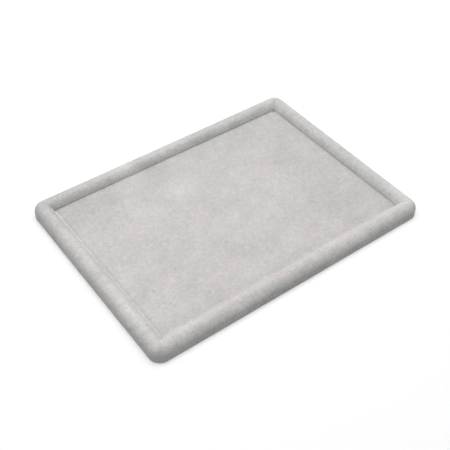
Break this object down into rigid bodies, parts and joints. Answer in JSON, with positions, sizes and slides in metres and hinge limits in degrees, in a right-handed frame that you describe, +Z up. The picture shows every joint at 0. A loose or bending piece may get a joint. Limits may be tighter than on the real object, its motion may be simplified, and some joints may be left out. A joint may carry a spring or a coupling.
{
  "type": "jewelry tray",
  "caption": "Flat open rectangular display tray: a padded half-round rim round a recessed flat floor panel, covered in light grey velvet.",
  "frame": {"origin": "middle of the footprint, on the surface that the tray stands on", "axes": "+X along the long sides, +Y along the short sides, +Z up"},
  "size_m": [0.3, 0.22, 0.015],
  "materials": {
    "velvet": "light grey short-pile velvet, matte, slightly mottled by the lay of its nap",
    "cover": "thin mid grey flocked sheet, matte",
    "foam": "thin off-white sponge sheet, matte",
    "fibreboard": "bare medium-density fibreboard",
    "rail_wood": "bare half-round moulding, pale wood",
    "greyboard": "bare greyboard"
  },
  "bodies": {
    "root": {"base_board": "fibreboard", "front_rail": "rail_wood", "back_rail": "rail_wood", "left_rail": "rail_wood", "right_rail": "rail_wood", "front_rim_foam": "foam", "back_rim_foam": "foam", "left_rim_foam": "foam", "right_rim_foam": "foam", "rim_velvet": "velvet", "floor_board": "greyboard", "floor_foam": "foam", "floor_velvet": "velvet", "bottom_cover": "cover"}
  },
  "joints": []
}
